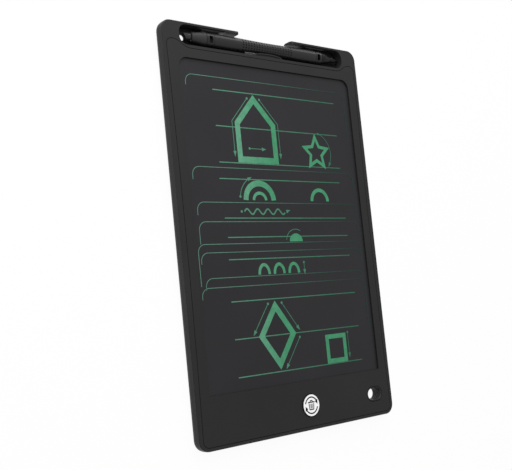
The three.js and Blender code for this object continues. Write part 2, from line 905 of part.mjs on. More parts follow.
function coinCell() {
  const chamfer = 0.3;
  const rimIn = 1.1;
  return turned([
    [0, 0],
    [cellRadius - chamfer, 0],
    [cellRadius, chamfer],
    [cellRadius, cellThickness - chamfer],
    [cellRadius - chamfer, cellThickness - chamfer / 3],
    [cellRadius - rimIn, cellThickness - chamfer / 3],
    [cellRadius - rimIn, cellThickness],
    [0, cellThickness],
  ]);
}

// A bent strip: points of its centre line in X and Z, a thickness up, and a width along Y
function strip(points, thickness, width, y) {
  const side = new THREE.Shape();
  side.moveTo(points[0][0], points[0][1]);
  points.slice(1).forEach(([x, z]) => side.lineTo(x, z));
  points.toReversed().forEach(([x, z]) => side.lineTo(x, z + thickness));
  side.closePath();
  const form = new THREE.ExtrudeGeometry(side, { depth: width, bevelEnabled: false });
  form.rotateX(Math.PI / 2);
  return solid(form.translate(0, y + width / 2, 0));
}

// The spring that presses on the inner face of the cell
function innerSpring() {
  const seat = boardTop + stackGap;
  const touch = cellTop + 2 * stackGap;
  const reach = cellX + cellRadius / 2;
  const points = [
    [reach - springLap / 2, touch + slideGap],
    [reach, touch],
    [reach + springLap / 2, touch + slideGap],
    [boardLeft - seamGap, seat],
    [boardLeft + springLap, seat],
  ];
  return strip(points, springThickness, springWidth - seamGap, springY + springWidth / 2);
}

// The spring that presses on the edge of the cell
function edgeSpring() {
  const seat = boardTop + stackGap;
  const near = cellX + cellRadius + slideGap;
  const front = springY - springWidth + seamGap / 2;
  const back = springY - seamGap / 2;
  const low = doorLedgeTop + stackGap;
  const high = seat + springThickness;
  const arm = block(near, boardLeft + springLap, front, back, seat, high);
  const leg = block(near, near + springThickness, front, back, low, high);
  return join(arm, leg);
}

function batteryDoor() {
  const plate = prism(doorOutline(0), doorSet, doorTop);
  const pad = disc(doorPadRadius, doorTop - stackGap, doorTop + cellLift / 2, cellX, cellY);
  const above = doorTop + overcut;
  const seat = doorSet + doorHeadSeat;
  const hole = disc(screwShaftRadius + shaftGap, -overcut, above, doorScrewX, cellY, smallSides);
  const head = disc(screwHeadRadius + shaftGap, -overcut, seat, doorScrewX, cellY, smallSides);
  const notch = block(
    doorX + doorLength / 2 - doorNotch,
    doorX + doorLength / 2 + overcut,
    cellY - doorCorner,
    cellY + doorCorner,
    -overcut,
    doorSet + doorThickness / 2,
  );
  return cut(join(plate, pad), hole, head, notch);
}

// Stylus, in its own frame: the middle of the barrel

function barrelRadius(x) {
  const fromMiddle = Math.abs(x);
  const swell = (penHalfWidth - penWaist) / 2;
  if (fromMiddle < barrelShoulder) {
    return penWaist + swell * (1 - Math.cos((Math.PI * fromMiddle) / barrelShoulder));
  }
  const along = (fromMiddle - barrelShoulder) / (barrelLength / 2 - barrelShoulder);
  return penHalfWidth + (barrelEndRadius - penHalfWidth) * along;
}

// A shallow ring groove round the barrel
function ringGroove(x) {
  const end = x + grooveWidth;
  const inner = barrelRadius(x) - grooveDepth;
  return [[barrelRadius(x), x], [inner, x], [inner, end], [barrelRadius(end), end]];
}

function barrelSocket(side) {
  const half = barrelLength / 2;
  const bore = penHalfWidth - barrelWall;
  const mouth = half + overcut;
  const socket = penForm([[0, half - socketDepth], [bore, half - socketDepth], [bore, mouth], [0, mouth]]);
  return side > 0 ? socket : socket.rotate([0, 0, 180]);
}

function latchWindow(side) {
  const x = side * (barrelLength / 2 - latchFromEnd);
  const front = latchOffset - latchWidth / 2;
  return block(x - latchLength / 2, x + latchLength / 2, front, front + latchWidth, 0, penHalfWidth);
}

function stylusBarrel() {
  const half = barrelLength / 2;
  const latch = half - latchFromEnd;
  const endSide = [
    ...ringGroove(latch - grooveFromLatch),
    [barrelEndRadius, half],
    [0, half],
  ];
  const otherSide = endSide.map(([radius, x]) => [radius, -x]).reverse();
  const middle = [];
  for (let i = 0; i <= barrelSteps; i++) {
    const x = barrelShoulder * ((2 * i) / barrelSteps - 1);
    middle.push([barrelRadius(x), x]);
  }
  const outside = penForm([...otherSide, ...middle, ...endSide]);
  return cut(outside, barrelSocket(-1), barrelSocket(1), latchWindow(-1), latchWindow(1));
}

// A cone with a bore for the tip piece's tang and a spigot, notched under the latch window, for the barrel
function stylusCone(length, endRadius, bulge) {
  const spigot = penHalfWidth - barrelWall - slideGap;
  const profile = [[0, slideGap - socketDepth], [spigot, slideGap - socketDepth], [spigot, slideGap]];
  for (let i = 0; i <= coneSteps; i++) {
    const along = i / coneSteps;
    const radius = barrelEndRadius - (barrelEndRadius - endRadius) * along ** bulge;
    profile.push([radius, slideGap + (length - slideGap) * along]);
  }
  profile.push([0, length]);
  const boreStart = length - tangLength - slideGap;
  const bore = tangRadius + shaftGap;
  const notch = latchLength / 2 + slideGap;
  return cut(
    penForm(profile),
    penForm([[0, boreStart], [bore, boreStart], [bore, length + overcut], [0, length + overcut]]),
    block(-latchFromEnd - notch, -latchFromEnd + notch, -spigot, spigot, 0, spigot),
  );
}

// A nib or plug with a tang, standing a little off the cone that holds it
function tipPiece(length, rootRadius, endRadius, rootGap) {
  const blunt = endRadius / 2;
  return penForm([
    [0, -tangLength],
    [tangRadius, -tangLength],
    [tangRadius, rootGap],
    [rootRadius, rootGap],
    [rootRadius, rootGap + (length - rootGap) / 4],
    [endRadius, length - blunt],
    [endRadius * 0.7, length - blunt * 0.3],
    [0, length],
  ]);
}

// The plug: a tip piece whose end is cut off at a slant
function stylusPlug() {
  const reach = plugLength - plugSlant / 2;
  const angle = Math.atan(plugSlant / (2 * plugEnd));
  const knife = block(0, plugLength, -plugLength, plugLength, -plugLength, plugLength);
  const turned = knife.rotate([0, 0, (angle * 180) / Math.PI]).translate([reach, 0, 0]);
  return cut(tipPiece(plugLength + plugEnd / 2, plugRadius, plugEnd, plugGap), turned);
}

// Materials

function plastic(color, roughness) {
  return new THREE.MeshStandardMaterial({ color, roughness, metalness: 0 });
}

function metal(color, roughness) {
  return new THREE.MeshStandardMaterial({ color, roughness, metalness: 1 });
}

// Assembly

const tablet = new THREE.Group();

function place(parent, name, body, material, x = 0, y = 0, z = 0) {
  const mesh = new THREE.Mesh(geometryOf(body), material);
  mesh.name = name;
  mesh.position.set(x, y, z);
  parent.add(mesh);
  return mesh;
}

function addHousing() {
  place(tablet, "back_shell", backShell(), plastic(0x0b0b0c, 0.5));
  place(tablet, "front_bezel", frontBezel(), plastic(0x090909, 0.5));
  place(tablet, "erase_button", eraseButton(), plastic(0xf0f0f0, 0.45), buttonX, buttonY);
}

function addScreen() {
  place(tablet, "screen_tape", tapeFrame(), plastic(0x202020, 0.8));
  place(tablet, "lcd_sheet", screenPlate(lcdBottom, lcdTop), plastic(0x0c0c0e, 0.35));
  const backing = screenPlate(backingBottom, backingTop, ribbonShelf);
  place(tablet, "backing_board", backing, plastic(0x1a1a1a, 0.8));
  place(tablet, "screen_ribbon", screenRibbon(), plastic(0xc07a2a, 0.5));
}

function addBoard() {
  const board = new THREE.Group();
  board.position.set(boardX, boardY, boardTop);
  tablet.add(board);
  place(board, "circuit_board", circuitBoard(), plastic(0x14502c, 0.5));
  const x = buttonX - boardX;
  const y = buttonY - boardY;
  place(board, "tact_switch", tactBody(), plastic(0x151515, 0.5), x, y);
  place(board, "tact_plunger", tactPlunger(), plastic(0xd8d8d8, 0.5), x, y, plungerTop - boardTop);
  place(board, "controller_chip", controllerChip(), plastic(0x101010, 0.6), chipX - boardX, 0);
  const tan = plastic(0x8c6a48, 0.5);
  place(board, "capacitor_upper", capacitor(), tan, capacitorX - boardX, capacitorPitch / 2);
  place(board, "capacitor_lower", capacitor(), tan, capacitorX - boardX, -capacitorPitch / 2);
  const lockMiddle = lockX + lockTravel / 2 - boardX;
  place(board, "lock_switch", lockBody(), plastic(0x1b1b1b, 0.5), lockMiddle, 0, -boardThickness);
  boardScrewPlaces().forEach((spot) => {
    const screw = crossScrew(boardScrewLength, screwHeadHeight);
    place(board, spot.name, screw, metal(0xb0b0b0, 0.35), spot.x - boardX, spot.y - boardY, stackGap);
  });
  place(tablet, "lock_knob", lockKnob(), plastic(0x1c1c1c, 0.5), lockX, boardY);
}

function addBattery() {
  place(tablet, "coin_cell", coinCell(), metal(0xc0c0c0, 0.3), cellX, cellY, cellBottom);
  place(tablet, "inner_spring", innerSpring(), metal(0xc8b070, 0.35));
  place(tablet, "edge_spring", edgeSpring(), metal(0xc8b070, 0.35));
  place(tablet, "battery_door", batteryDoor(), plastic(0x0b0b0c, 0.5));
  const screw = crossScrew(doorScrewLength - doorHeadSeat - slideGap, doorScrewHead);
  const seat = doorSet + doorHeadSeat - stackGap;
  const upturned = place(tablet, "door_screw", screw, metal(0x909090, 0.35), doorScrewX, cellY, seat);
  upturned.rotation.x = Math.PI;
}

function addStylus() {
  const stylus = new THREE.Group();
  stylus.position.set(penX, penY, penZ);
  tablet.add(stylus);
  const half = barrelLength / 2;
  const black = plastic(0x101011, 0.45);
  place(stylus, "stylus_barrel", stylusBarrel(), black);
  const frontCone = stylusCone(frontConeLength, frontConeEnd, frontConeBulge);
  const rearCone = stylusCone(rearConeLength, rearConeEnd, rearConeBulge);
  const nib = tipPiece(nibLength, nibRadius, nibTip, slideGap);
  place(stylus, "stylus_front_cone", frontCone, black, half);
  place(stylus, "stylus_nib", nib, black, half + frontConeLength);
  const rear = new THREE.Group();
  rear.position.x = -half;
  rear.rotation.z = Math.PI;
  stylus.add(rear);
  place(rear, "stylus_rear_cone", rearCone, black);
  place(rear, "stylus_plug", stylusPlug(), plastic(0x0c0c0d, 0.2), rearConeLength);
}

addHousing();
addScreen();
addBoard();
addBattery();
addStylus();

export default tablet;
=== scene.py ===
import math

import bpy
from mathutils import Matrix, Vector


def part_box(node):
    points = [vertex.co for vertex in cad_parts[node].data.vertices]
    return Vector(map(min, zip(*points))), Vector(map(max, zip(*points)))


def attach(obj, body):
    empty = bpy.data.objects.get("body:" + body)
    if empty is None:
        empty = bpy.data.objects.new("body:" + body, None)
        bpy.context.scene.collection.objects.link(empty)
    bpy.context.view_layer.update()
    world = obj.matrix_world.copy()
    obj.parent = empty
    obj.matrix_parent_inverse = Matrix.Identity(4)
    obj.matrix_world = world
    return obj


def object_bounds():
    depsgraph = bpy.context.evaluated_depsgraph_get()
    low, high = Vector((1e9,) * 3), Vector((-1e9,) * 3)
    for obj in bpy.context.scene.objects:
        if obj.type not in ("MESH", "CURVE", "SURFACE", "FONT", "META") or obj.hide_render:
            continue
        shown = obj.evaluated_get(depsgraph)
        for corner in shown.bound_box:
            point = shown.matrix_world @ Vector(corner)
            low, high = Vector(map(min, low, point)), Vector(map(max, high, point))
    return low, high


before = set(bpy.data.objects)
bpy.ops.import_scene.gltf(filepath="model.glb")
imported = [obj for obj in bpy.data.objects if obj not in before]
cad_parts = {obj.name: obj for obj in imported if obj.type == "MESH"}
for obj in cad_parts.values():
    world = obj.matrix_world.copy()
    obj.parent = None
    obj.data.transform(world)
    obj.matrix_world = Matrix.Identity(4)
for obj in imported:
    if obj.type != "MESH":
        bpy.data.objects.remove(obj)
CAD_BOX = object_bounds()
MM = 0.001

# Where things are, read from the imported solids
LCD_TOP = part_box("lcd_sheet")[1].z
BUTTON_LOW, BUTTON_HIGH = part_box("erase_button")
BARREL_LOW, BARREL_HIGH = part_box("stylus_barrel")

# The drawing on the screen: how high each layer lies, then widths and sizes
INK_THICKNESS = 0.02 * MM
RULED_LIFT = 0.02 * MM
BOLD_LIFT = 0.045 * MM
FINE_LIFT = 0.07 * MM
HEAD_LIFT = 0.095 * MM
FINE_LINE = 0.4 * MM
RULED_LINE = 0.55 * MM
WAVE_LINE = 0.9 * MM
# In millimetres, as the points of the drawing are
START_DOT_RADIUS = 0.75
ARROW_HEAD_SIZE = 2.2
SHEET_CORNER = 4.5

# The print on the button: lengths in millimetres, angles in degrees
PRINT_LIFT = 0.015 * MM
DISC_RADIUS = 5.95
ARROW_RADIUS = 4.5
ARROW_WIDTH = 0.75 * MM
ARROW_STARTS = (165, -15)
ARROW_SWEEP = 138
HEAD_ROOT_SWEEP = 132
HEAD_TIP_SWEEP = 162
HEAD_TIP_RADIUS = 4.6
HEAD_OUTER_RADIUS = 5.7
HEAD_INNER_RADIUS = 3.3
BIN_WALL = [(-1.8, 1.1), (-1.45, -2.3), (1.45, -2.3), (1.8, 1.1)]
BIN_WALL_WIDTH = 0.6 * MM
BIN_SLATS = (-0.7, 0, 0.7)
BIN_SLAT_TOP, BIN_SLAT_FOOT = 0.8, -1.7
BIN_SLAT_TAPER = 0.8
BIN_SLAT_WIDTH = 0.36 * MM
BIN_LID = [(-2.5, 1.7), (2.5, 1.7)]
BIN_LID_WIDTH = 0.65 * MM
BIN_HANDLE = [(-0.9, 1.9), (-0.7, 2.6), (0.7, 2.6), (0.9, 1.9)]
BIN_HANDLE_WIDTH = 0.5 * MM

# The stylus grip
DOTS_IN_ROW = 19
DOT_ROWS = 6
DOT_PITCH = 2.0 * MM
DOT_RADIUS = 0.42 * MM
DOT_HEIGHT_SHARE = 0.35
ROW_ANGLE = math.radians(24)
FIRST_ROW = math.radians(-80)
# The barrel is slimmest in its middle, and under the grip it swells with the square of the distance
WAIST_HALF_WIDTH = 3.5 * MM
WAIST_HALF_HEIGHT = 2.7 * MM
SWELL = 0.8 * MM
SWELL_REACH = 34 * MM

# The stage: lengths in metres, power in watts
FLOOR_GAP = 0.5 * MM
FLOOR_SIZE = 12
FLOOR_GLOW_SHARE = 0.95
ROOM_BRIGHTNESS = 0.42
LAMPS = [
    # name, place, size, power
    ("key", (-0.25, 0.5, 0.65), 0.7, 6),
    ("rim", (0.0, 0.8, 0.25), 0.4, 3.5),
    ("edge", (0.55, 0.75, 0.24), 0.4, 0.6),
    ("under", (0.35, -0.3, -0.8), 0.7, 5),
]

# The camera, solved from the outline's corners in the photograph
CAMERA_PLACE = (-0.32188, -0.04913, 0.36333)
CAMERA_RIGHT = (0.76808219, -0.09874114, 0.63269261)
CAMERA_DOWN = (-0.02434942, -0.99182892, -0.12522979)
CAMERA_AHEAD = (0.63988816, 0.08078107, -0.76421041)
FOCAL_PIXELS = 854.77
IMAGE_WIDTH, IMAGE_HEIGHT = 512, 470
MIDDLE_ROW = 251.23
SENSOR_WIDTH = 36
NEAREST_SEEN = 0.01


# Materials

FINE_GRAIN = 2500.0


def grey(value):
    return (value, value, value)


def new_group(name, inputs, outputs):
    group = bpy.data.node_groups.new(name, "ShaderNodeTree")
    for label, kind, value in inputs:
        socket = group.interface.new_socket(label, in_out="INPUT", socket_type=kind)
        socket.default_value = value
    for label, kind in outputs:
        group.interface.new_socket(label, in_out="OUTPUT", socket_type=kind)
    return group


def noise_node(tree, scale, detail, roughness):
    node = tree.nodes.new("ShaderNodeTexNoise")
    node.inputs["Scale"].default_value = scale
    node.inputs["Detail"].default_value = detail
    node.inputs["Roughness"].default_value = roughness
    return node


def moulded_surface_group():
    """Fine spark-eroded texture, slow colour drift and rubbed patches of a moulded plastic."""
    group = new_group(
        "moulded surface",
        [
            ("Color", "NodeSocketColor", (*grey(0.03), 1)),
            ("Rubbed Color", "NodeSocketColor", (*grey(0.05), 1)),
            ("Roughness", "NodeSocketFloat", 0.5),
            ("Grain Size", "NodeSocketFloat", FINE_GRAIN),
            ("Grain Depth", "NodeSocketFloat", 0.1),
        ],
        [
            ("Color", "NodeSocketColor"),
            ("Roughness", "NodeSocketFloat"),
            ("Normal", "NodeSocketVector"),
        ],
    )
    nodes = group.nodes
    link = group.links.new
    given = nodes.new("NodeGroupInput")
    result = nodes.new("NodeGroupOutput")
    place = nodes.new("ShaderNodeTexCoord")
    drift = noise_node(group, scale=28, detail=4, roughness=0.5)
    grain = noise_node(group, scale=FINE_GRAIN, detail=2, roughness=0.7)
    link(place.outputs["Object"], drift.inputs["Vector"])
    link(place.outputs["Object"], grain.inputs["Vector"])
    link(given.outputs["Grain Size"], grain.inputs["Scale"])
    patches = nodes.new("ShaderNodeMapRange")
    patches.inputs["From Min"].default_value = 0.35
    patches.inputs["From Max"].default_value = 0.7
    link(drift.outputs["Fac"], patches.inputs["Value"])
    mix = nodes.new("ShaderNodeMix")
    mix.data_type = "RGBA"
    link(patches.outputs["Result"], mix.inputs["Factor"])
    link(given.outputs["Color"], mix.inputs["A"])
    link(given.outputs["Rubbed Color"], mix.inputs["B"])
    speckle = nodes.new("ShaderNodeMix")
    speckle.data_type = "RGBA"
    speckle.blend_type = "OVERLAY"
    speckle.inputs["Factor"].default_value = 0.25
    link(mix.outputs["Result"], speckle.inputs["A"])
    link(grain.outputs["Color"], speckle.inputs["B"])
    link(speckle.outputs["Result"], result.inputs["Color"])
    # Rubbed patches are a little smoother
    rough = nodes.new("ShaderNodeMath")
    rough.operation = "MULTIPLY_ADD"
    rough.inputs[1].default_value = -0.08
    link(patches.outputs["Result"], rough.inputs[0])
    link(given.outputs["Roughness"], rough.inputs[2])
    link(rough.outputs["Value"], result.inputs["Roughness"])
    bump = nodes.new("ShaderNodeBump")
    bump.inputs["Distance"].default_value = 0.03 * MM
    link(given.outputs["Grain Depth"], bump.inputs["Strength"])
    link(grain.outputs["Fac"], bump.inputs["Height"])
    link(bump.outputs["Normal"], result.inputs["Normal"])
    return group


MOULDED = moulded_surface_group()


def principled(name):
    material = bpy.data.materials.new(name)
    material.use_nodes = True
    return material, material.node_tree, material.node_tree.nodes["Principled BSDF"]


def moulded_plastic(name, color, rubbed, roughness, grain_size, grain_depth, specular):
    """Plastic, rubber, print or film with the moulded surface. A larger grain_size is a finer grain."""
    material, tree, shader = principled(name)
    surface = tree.nodes.new("ShaderNodeGroup")
    surface.node_tree = MOULDED
    surface.inputs["Color"].default_value = (*color, 1)
    surface.inputs["Rubbed Color"].default_value = (*rubbed, 1)
    surface.inputs["Roughness"].default_value = roughness
    surface.inputs["Grain Size"].default_value = grain_size
    surface.inputs["Grain Depth"].default_value = grain_depth
    tree.links.new(surface.outputs["Color"], shader.inputs["Base Color"])
    tree.links.new(surface.outputs["Roughness"], shader.inputs["Roughness"])
    tree.links.new(surface.outputs["Normal"], shader.inputs["Normal"])
    shader.inputs["Specular IOR Level"].default_value = specular
    return material


def worn_metal(name, color, dark, roughness, scratch_scale):
    """Plated metal with fine scratches that run one way."""
    material, tree, shader = principled(name)
    place = tree.nodes.new("ShaderNodeTexCoord")
    stretch = tree.nodes.new("ShaderNodeMapping")
    stretch.inputs["Scale"].default_value = (1, 0.05, 1)
    tree.links.new(place.outputs["Object"], stretch.inputs["Vector"])
    scratch = noise_node(tree, scratch_scale, detail=5, roughness=0.6)
    tree.links.new(stretch.outputs["Vector"], scratch.inputs["Vector"])
    ramp = tree.nodes.new("ShaderNodeValToRGB")
    ramp.color_ramp.elements[0].position = 0.35
    ramp.color_ramp.elements[0].color = (*dark, 1)
    ramp.color_ramp.elements[1].position = 0.6
    ramp.color_ramp.elements[1].color = (*color, 1)
    tree.links.new(scratch.outputs["Fac"], ramp.inputs["Fac"])
    tree.links.new(ramp.outputs["Color"], shader.inputs["Base Color"])
    spread = tree.nodes.new("ShaderNodeMapRange")
    spread.inputs["To Min"].default_value = roughness + 0.12
    spread.inputs["To Max"].default_value = roughness
    tree.links.new(scratch.outputs["Fac"], spread.inputs["Value"])
    tree.links.new(spread.outputs["Result"], shader.inputs["Roughness"])
    shader.inputs["Metallic"].default_value = 1
    return material


def screen_film():
    """The dark liquid-crystal film: a cool black with faint pressure clouds under a satin top layer."""
    material, tree, shader = principled("screen film")
    place = tree.nodes.new("ShaderNodeTexCoord")
    clouds = noise_node(tree, scale=22, detail=5, roughness=0.55)
    tree.links.new(place.outputs["Object"], clouds.inputs["Vector"])
    ramp = tree.nodes.new("ShaderNodeValToRGB")
    ramp.color_ramp.elements[0].position = 0.3
    ramp.color_ramp.elements[0].color = (0.0168, 0.0166, 0.0186, 1)
    ramp.color_ramp.elements[1].position = 0.75
    ramp.color_ramp.elements[1].color = (0.0208, 0.0206, 0.0232, 1)
    tree.links.new(clouds.outputs["Fac"], ramp.inputs["Fac"])
    tree.links.new(ramp.outputs["Color"], shader.inputs["Base Color"])
    tooth = noise_node(tree, scale=5200, detail=2, roughness=0.6)
    tree.links.new(place.outputs["Object"], tooth.inputs["Vector"])
    bump = tree.nodes.new("ShaderNodeBump")
    bump.inputs["Strength"].default_value = 0.05
    bump.inputs["Distance"].default_value = 0.02 * MM
    tree.links.new(tooth.outputs["Fac"], bump.inputs["Height"])
    tree.links.new(bump.outputs["Normal"], shader.inputs["Normal"])
    shader.inputs["Roughness"].default_value = 0.42
    shader.inputs["Specular IOR Level"].default_value = 0.3
    return material


def liquid_ink(name, left, right, sheen_start, sheen_end):
    """Green reflected by the liquid crystal, uneven along each stroke.

    It fades from the lighter left colour to the darker right one between the two places across the
    screen. The lighter left is a painted sheen of light falling from the left.
    """
    material, tree, shader = principled(name)
    place = tree.nodes.new("ShaderNodeTexCoord")
    split = tree.nodes.new("ShaderNodeSeparateXYZ")
    tree.links.new(place.outputs["Object"], split.inputs["Vector"])
    across = tree.nodes.new("ShaderNodeMapRange")
    across.interpolation_type = "SMOOTHSTEP"
    across.inputs["From Min"].default_value = sheen_start
    across.inputs["From Max"].default_value = sheen_end
    tree.links.new(split.outputs["X"], across.inputs["Value"])
    # Painted sheen: the ink is lighter towards the left of the screen and darker towards the right
    sheen_fade = tree.nodes.new("ShaderNodeMix")
    sheen_fade.data_type = "RGBA"
    sheen_fade.inputs["A"].default_value = (*left, 1)
    sheen_fade.inputs["B"].default_value = (*right, 1)
    tree.links.new(across.outputs["Result"], sheen_fade.inputs["Factor"])
    uneven = noise_node(tree, scale=420, detail=4, roughness=0.6)
    tree.links.new(place.outputs["Object"], uneven.inputs["Vector"])
    dapple = tree.nodes.new("ShaderNodeMix")
    dapple.data_type = "RGBA"
    dapple.blend_type = "OVERLAY"
    dapple.inputs["Factor"].default_value = 0.35
    tree.links.new(sheen_fade.outputs["Result"], dapple.inputs["A"])
    tree.links.new(uneven.outputs["Fac"], dapple.inputs["B"])
    tree.links.new(dapple.outputs["Result"], shader.inputs["Base Color"])
    shader.inputs["Roughness"].default_value = 0.45
    shader.inputs["Specular IOR Level"].default_value = 0.2
    return material


# Colours: the plain one, then the one where the surface is rubbed
HOUSING = (grey(0.019), grey(0.0235))
BEZEL = (grey(0.0165), grey(0.0195))
STYLUS = ((0.0135, 0.0135, 0.014), (0.0165, 0.0165, 0.017))
# The stylus plastic painted lighter: painted light on the rear cone and plug, where the bay's walls
# shade them
STYLUS_WITH_PAINTED_LIGHT = ((0.024, 0.024, 0.0245), (0.029, 0.029, 0.0295))
TIP = ((0.004, 0.004, 0.0045), (0.006, 0.006, 0.0065))
RUBBER = (grey(0.006), grey(0.009))
KNOB = ((0.02, 0.02, 0.021), (0.03, 0.03, 0.031))
WHITE_PRINT = (grey(0.97), grey(0.93))
BLACK_PRINT = (grey(0.004), grey(0.008))
TAPE = (grey(0.02), grey(0.03))
BACKING = (grey(0.05), grey(0.065))
AMBER = ((0.42, 0.17, 0.03), (0.5, 0.22, 0.05))
SOLDER_MASK = ((0.01, 0.085, 0.03), (0.015, 0.11, 0.04))
CHIP = (grey(0.015), grey(0.03))
CERAMIC = ((0.28, 0.18, 0.1), (0.34, 0.23, 0.14))
PLUNGER = ((0.55, 0.55, 0.54), (0.62, 0.62, 0.6))

# Metals: the bright colour, then the dark one in the scratches
ZINC = ((0.55, 0.55, 0.54), grey(0.3))
NICKEL = ((0.66, 0.65, 0.62), (0.5, 0.49, 0.46))
GILT = ((0.72, 0.55, 0.28), (0.5, 0.36, 0.16))

# Ink: the colour to the left, lightened by painted sheen, then the darker one to the right
BOLD_INK = ((0.125, 0.315, 0.208), (0.051, 0.245, 0.124))
THIN_INK = ((0.085, 0.24, 0.155), (0.03, 0.13, 0.075))
FAINT_INK = ((0.09, 0.2, 0.145), (0.014, 0.045, 0.032))

# Plastics: name, colours, roughness, grain size, grain depth, specular level
PLASTICS = {
    "housing": ("black housing", HOUSING, 0.5, FINE_GRAIN, 0.1, 0.2),
    "bezel": ("black bezel", BEZEL, 0.52, FINE_GRAIN, 0.1, 0.26),
    "door": ("black door", HOUSING, 0.48, 2100.0, 0.14, 0.2),
    "stylus": ("stylus black", STYLUS, 0.3, 3200.0, 0.03, 0.5),
    "grip": ("grip rubber", RUBBER, 0.85, 3600.0, 0.05, 0.05),
    # The rear cone is the stylus plastic with painted light, lighter than the barrel
    "cone": ("stylus cone", STYLUS_WITH_PAINTED_LIGHT, 0.36, 3200.0, 0.05, 0.4),
    "tip": ("stylus tip", TIP, 0.28, 3200.0, 0.03, 0.25),
    # The plug is the stylus plastic with painted light, lighter than the barrel
    "plug": ("stylus plug", STYLUS_WITH_PAINTED_LIGHT, 0.24, 3600.0, 0.02, 0.5),
    "knob": ("lock knob", KNOB, 0.42, 2800.0, 0.08, 0.5),
    "button": ("white print", WHITE_PRINT, 0.45, 3000.0, 0.03, 0.5),
    "mark": ("black print", BLACK_PRINT, 0.5, 3000.0, 0.03, 0.2),
    "tape": ("black tape", TAPE, 0.8, 1400.0, 0.3, 0.5),
    "backing": ("backing sheet", BACKING, 0.75, 900.0, 0.3, 0.5),
    "ribbon": ("amber film", AMBER, 0.3, 1500.0, 0.05, 0.5),
    "board": ("solder mask", SOLDER_MASK, 0.35, 1200.0, 0.1, 0.5),
    "chip": ("chip resin", CHIP, 0.6, 2600.0, 0.2, 0.5),
    "capacitor": ("tan ceramic", CERAMIC, 0.5, 2600.0, 0.1, 0.5),
    "plunger": ("pale plunger", PLUNGER, 0.4, 2600.0, 0.05, 0.5),
}

# Metals: name, colours, roughness, scratch scale
METALS = {
    "screw": ("zinc screw", ZINC, 0.3, 900.0),
    "cell": ("nickel cell", NICKEL, 0.22, 500.0),
    "spring": ("gilt spring", GILT, 0.25, 900.0),
}

# Inks: name, colours, and the two places across the screen between which their painted sheen fades
INKS = {
    "bold_ink": ("crystal ink", BOLD_INK, -45 * MM, 0),
    "line_ink": ("thin crystal ink", THIN_INK, -60 * MM, 60 * MM),
    "edge_ink": ("faint crystal ink", FAINT_INK, -60 * MM, 60 * MM),
}


def all_finishes():
    finishes = {"film": screen_film()}
    for finish, (name, (color, rubbed), *surface) in PLASTICS.items():
        finishes[finish] = moulded_plastic(name, color, rubbed, *surface)
    for finish, (name, (color, dark), *surface) in METALS.items():
        finishes[finish] = worn_metal(name, color, dark, *surface)
    for finish, (name, (left, right), *sheen_fade) in INKS.items():
        finishes[finish] = liquid_ink(name, left, right, *sheen_fade)
    return finishes


FINISH = all_finishes()

NODE_FINISH = {
    "back_shell": "housing",
    "front_bezel": "bezel",
    "erase_button": "bezel",
    "screen_tape": "tape",
    "lcd_sheet": "film",
    "backing_board": "backing",
    "screen_ribbon": "ribbon",
    "circuit_board": "board",
    "controller_chip": "chip",
    "capacitor_upper": "capacitor",
    "capacitor_lower": "capacitor",
    "tact_switch": "chip",
    "tact_plunger": "plunger",
    "lock_switch": "chip",
    "lock_knob": "knob",
    "board_screw_left": "screw",
    "board_screw_right": "screw",
    "coin_cell": "cell",
    "inner_spring": "spring",
    "edge_spring": "spring",
    "battery_door": "door",
    "door_screw": "screw",
    "stylus_barrel": "stylus",
    "stylus_front_cone": "tip",
    "stylus_nib": "tip",
    "stylus_rear_cone": "cone",
    "stylus_plug": "plug",
}


def dress_solids():
    for node, finish in NODE_FINISH.items():
        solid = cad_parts[node]
        solid.data.materials.clear()
        solid.data.materials.append(FINISH[finish])


# Flat ribbons and plates, made of points

SHARPEST_MITRE = 0.3


def arc(cx, cy, rx, ry, start, end, steps):
    """Points of an elliptical arc between two angles in degrees."""
    points = []
    for i in range(steps + 1):
        angle = math.radians(start + (end - start) * i / steps)
        points.append((cx + rx * math.cos(angle), cy + ry * math.sin(angle)))
    return points


def circle(cx, cy, radius, steps, start=0):
    """Points all round a circle, from an angle in degrees, without the first one again."""
    return arc(cx, cy, radius, radius, start, start + 360, steps)[:-1]


def ribbon(mesh, points, width, low, high, closed=False):
    """Adds a flat ribbon with square ends and mitred corners to the mesh lists."""
    vertices, faces = mesh
    count = len(points)
    base = len(vertices)
    for i, (x, y) in enumerate(points):
        here = Vector((x, y))
        before = Vector(points[i - 1]) if i or closed else None
        after = Vector(points[(i + 1) % count]) if i + 1 < count or closed else None
        into = (here - before).normalized() if before else (after - here).normalized()
        onward = (after - here).normalized() if after else into
        across = Vector((-into.y - onward.y, into.x + onward.x)).normalized()
        mitre = max(across.dot(Vector((-into.y, into.x))), SHARPEST_MITRE)
        nx, ny = across * (width / 2 / mitre)
        vertices.append((x + nx, y + ny, low))
        vertices.append((x - nx, y - ny, low))
        vertices.append((x - nx, y - ny, high))
        vertices.append((x + nx, y + ny, high))
    spans = count if closed else count - 1
    for i in range(spans):
        a = base + 4 * i
        b = base + 4 * ((i + 1) % count)
        for side in range(4):
            following = (side + 1) % 4
            faces.append((a + following, a + side, b + side, b + following))
    if not closed:
        last = base + 4 * (count - 1)
        faces.append((base, base + 1, base + 2, base + 3))
        faces.append((last + 3, last + 2, last + 1, last))


def plate(mesh, points, low, high):
    """Adds a flat plate with the outline of points, which run anticlockwise."""
    vertices, faces = mesh
    base = len(vertices)
    count = len(points)
    vertices.extend((x, y, low) for x, y in points)
    vertices.extend((x, y, high) for x, y in points)
    faces.append(tuple(base + count + i for i in range(count)))
    faces.append(tuple(base + i for i in reversed(range(count))))
    for i in range(count):
        following = (i + 1) % count
        faces.append((base + i, base + following, base + count + following, base + count + i))


def make_piece(name, mesh, material, body):
    """A piece from lists of vertices and faces, riding on a body of the record."""
    data = bpy.data.meshes.new(name)
    data.from_pydata(mesh[0], [], mesh[1])
    data.validate()
    data.materials.append(material)
    piece = bpy.data.objects.new(name, data)
    bpy.context.scene.collection.objects.link(piece)
    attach(piece, body)


# The practice sheets drawn on the screen, laid out in millimetres from the body's middle

